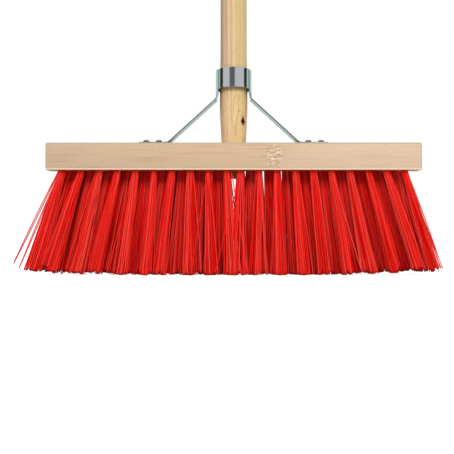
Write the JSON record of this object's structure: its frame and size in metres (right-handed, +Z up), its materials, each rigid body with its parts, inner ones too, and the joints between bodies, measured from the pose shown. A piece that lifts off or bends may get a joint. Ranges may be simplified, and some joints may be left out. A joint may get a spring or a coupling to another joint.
{
  "type": "street broom",
  "caption": "Street broom with a pale wooden block, stiff red bristles, a leaning round wooden handle and a zinc-plated steel stay.",
  "frame": {"origin": "on the floor, under the middle of the bounding box of the whole broom", "axes": "+Z up, +X along the block, to the right as seen from the front, and +Y to the back, the way the handle leans"},
  "size_m": [0.4394, 0.2775, 1.4877],
  "materials": {
    "block": "planed, unvarnished",
    "handle": "turned, satin",
    "stay": "bright zinc plated",
    "screws": "zinc plated",
    "bristles": "drawn filament"
  },
  "bodies": {
    "root": {"block": "block", "handle": "handle", "stay": "stay", "screw_left_inner": "screws", "screw_left_outer": "screws", "screw_right_inner": "screws", "screw_right_outer": "screws", "screw_ring": "screws", "tuft_front_01": "bristles", "tuft_front_02": "bristles", "tuft_front_03": "bristles", "tuft_front_04": "bristles", "tuft_front_05": "bristles", "tuft_front_06": "bristles", "tuft_front_07": "bristles", "tuft_front_08": "bristles", "tuft_front_09": "bristles", "tuft_front_10": "bristles", "tuft_front_11": "bristles", "tuft_front_12": "bristles", "tuft_front_13": "bristles", "tuft_front_14": "bristles", "tuft_front_15": "bristles", "tuft_front_16": "bristles", "tuft_front_17": "bristles", "tuft_front_18": "bristles", "tuft_front_19": "bristles", "tuft_front_20": "bristles", "tuft_back_01": "bristles", "tuft_back_02": "bristles", "tuft_back_03": "bristles", "tuft_back_04": "bristles", "tuft_back_05": "bristles", "tuft_back_06": "bristles", "tuft_back_07": "bristles", "tuft_back_08": "bristles", "tuft_back_09": "bristles", "tuft_back_10": "bristles", "tuft_back_11": "bristles", "tuft_back_12": "bristles", "tuft_back_13": "bristles", "tuft_back_14": "bristles", "tuft_back_15": "bristles", "tuft_back_16": "bristles", "tuft_back_17": "bristles", "tuft_back_18": "bristles", "tuft_back_19": "bristles", "tuft_back_20": "bristles", "tufts_inner_front_left": "bristles", "tufts_inner_front_right": "bristles", "tufts_inner_back_left": "bristles", "tufts_inner_back_right": "bristles"}
  },
  "joints": []
}
